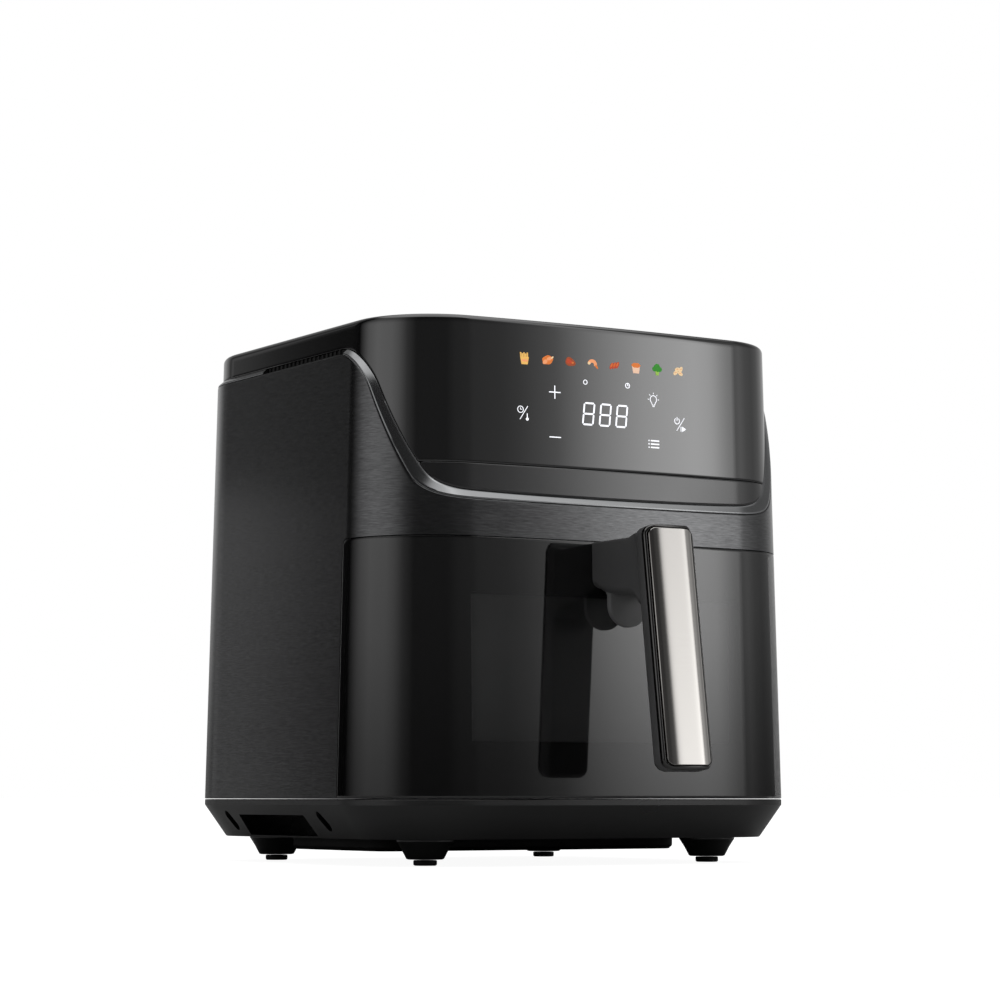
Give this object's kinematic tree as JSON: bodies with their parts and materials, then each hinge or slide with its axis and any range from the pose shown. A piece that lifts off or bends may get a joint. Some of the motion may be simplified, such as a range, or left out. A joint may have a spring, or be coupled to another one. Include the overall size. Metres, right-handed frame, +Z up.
{
  "type": "air fryer",
  "caption": "Free-standing basket air fryer with a windowed pull-out drawer, front handle with release trigger, touch panel, lift-out crisper plate and a convection fan above the basket.",
  "frame": {"origin": "middle of the overall footprint, on the plane of the foot pads", "axes": "+Z up, the front with the handle and panel faces -Y, +X to the right seen from the front"},
  "size_m": [0.2834, 0.3472, 0.3],
  "materials": {
    "matte_black": "fine moulded texture",
    "rubber_grey": "matt silicone",
    "brushed_dark": "dark anodised, brushed along its length",
    "gloss_black": "piano gloss",
    "satin_grey": "satin",
    "bright_trim": "satin chrome",
    "pearl_nickel": "pearl nickel",
    "steel": "pressed sheet",
    "non_stick": "non-stick coating",
    "tinted_glass": "clear",
    "circuit": "solder mask",
    "ceramic": "unglazed"
  },
  "bodies": {
    "housing": {"base_tray": "matte_black", "bottom_plate": "matte_black", "foot_front_left": "matte_black", "foot_front_right": "matte_black", "foot_rear_left": "matte_black", "foot_rear_right": "matte_black", "air_inlet_left": "matte_black", "air_inlet_right": "matte_black", "exhaust_grille": "matte_black", "cord_inlet": "matte_black", "front_frame": "matte_black", "drawer_switch": "matte_black", "foot_pad_front_left": "rubber_grey", "foot_pad_front_right": "rubber_grey", "foot_pad_rear_left": "rubber_grey", "foot_pad_rear_right": "rubber_grey", "outer_shell": "brushed_dark", "upper_housing": "gloss_black", "control_panel": "gloss_black", "top_plate": "gloss_black", "panel_strip": "satin_grey", "bay_rail_left": "satin_grey", "bay_rail_right": "satin_grey", "display_module": "satin_grey", "trim_front": "bright_trim", "trim_rear": "bright_trim", "exhaust_duct": "steel", "bay_liner": "steel", "heat_chamber": "steel", "heating_element": "steel", "element_clip_1": "steel", "element_clip_2": "steel", "element_guard": "steel", "motor_bracket": "steel", "motor": "steel", "lamp_lens": "tinted_glass", "control_board": "circuit", "power_board": "circuit", "lamp_socket": "ceramic"},
    "rotor": {"motor_shaft": "steel", "hot_air_fan": "steel", "cooling_fan": "satin_grey"},
    "drawer": {"drawer_glass": "gloss_black", "drawer_frame": "matte_black", "window_pane": "tinted_glass", "window_gasket": "rubber_grey", "basket": "non_stick", "basket_window": "tinted_glass", "handle_body": "satin_grey", "handle_bezel": "gloss_black", "handle_plate": "pearl_nickel", "handle_screw_left": "steel", "handle_screw_right": "steel", "trigger_pin": "steel"},
    "trigger": {"release_trigger": "satin_grey"},
    "crisper": {"crisper_plate": "non_stick", "crisper_bumper_front": "rubber_grey", "crisper_bumper_rear": "rubber_grey", "crisper_bumper_left": "rubber_grey", "crisper_bumper_right": "rubber_grey"}
  },
  "joints": [
    {"name": "drawer_slide", "type": "slide", "parent": "housing", "child": "drawer", "axis": [0, -1, 0], "range_m": [0, 0.235]},
    {"name": "crisper_lift", "type": "slide", "parent": "drawer", "child": "crisper", "axis": [0, 0, 1], "range_m": [0, 0.1]},
    {"name": "trigger_squeeze", "type": "hinge", "parent": "drawer", "child": "trigger", "pos_m": [0, -0.11277, 0.15], "axis": [-1, 0, 0], "range_deg": [0, 8], "stiffness_Nm_per_rad": 0.2, "springref_deg": -5.73},
    {"name": "rotor_spin", "type": "hinge", "parent": "housing", "child": "rotor", "pos_m": [0, 0.03523, 0.205], "axis": [0, 0, 1], "continuous": true}
  ]
}
